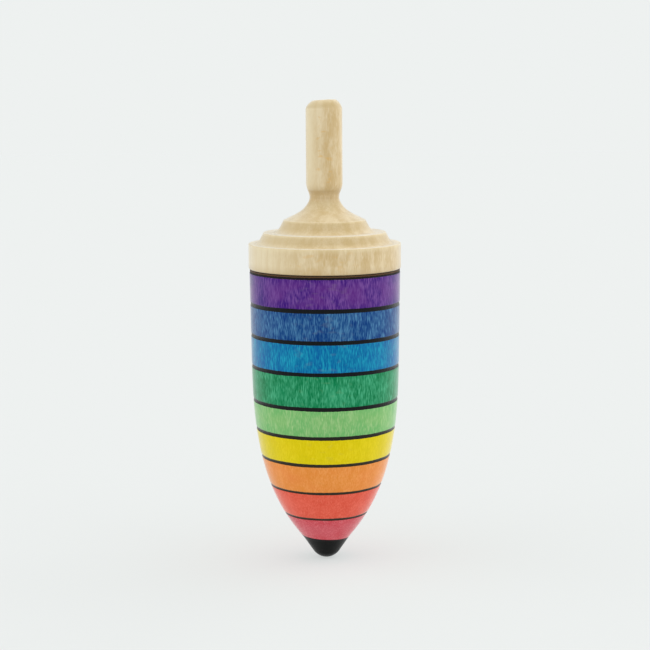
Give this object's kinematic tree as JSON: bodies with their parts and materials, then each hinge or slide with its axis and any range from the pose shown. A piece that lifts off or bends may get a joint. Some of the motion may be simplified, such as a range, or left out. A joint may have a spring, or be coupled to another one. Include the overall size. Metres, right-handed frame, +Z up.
{
  "type": "spinning top",
  "caption": "Turned wooden finger top with a long pointed body in stained rainbow bands, a stepped maple cap and a round stem to twist between the fingers.",
  "frame": {"origin": "the point of the tip, where the top touches the table, on the spin axis", "axes": "+Z up along the spin axis, from the tip to the free end of the stem; the top is round, so +X and +Y are any two directions square to it"},
  "size_m": [0.03, 0.03, 0.0915],
  "materials": {
    "maple_natural": "bare pale maple, waxed to a low sheen, fine grain along the axis with small ray flecks",
    "maple_stained": "maple stained in nine bands and waxed to a satin sheen, with black lines scorched between them",
    "tip_black": "hard wood dyed black and polished"
  },
  "bodies": {
    "root": {"tip": "tip_black", "body": "maple_stained", "cap": "maple_natural", "grip_stem": "maple_natural"}
  },
  "joints": []
}
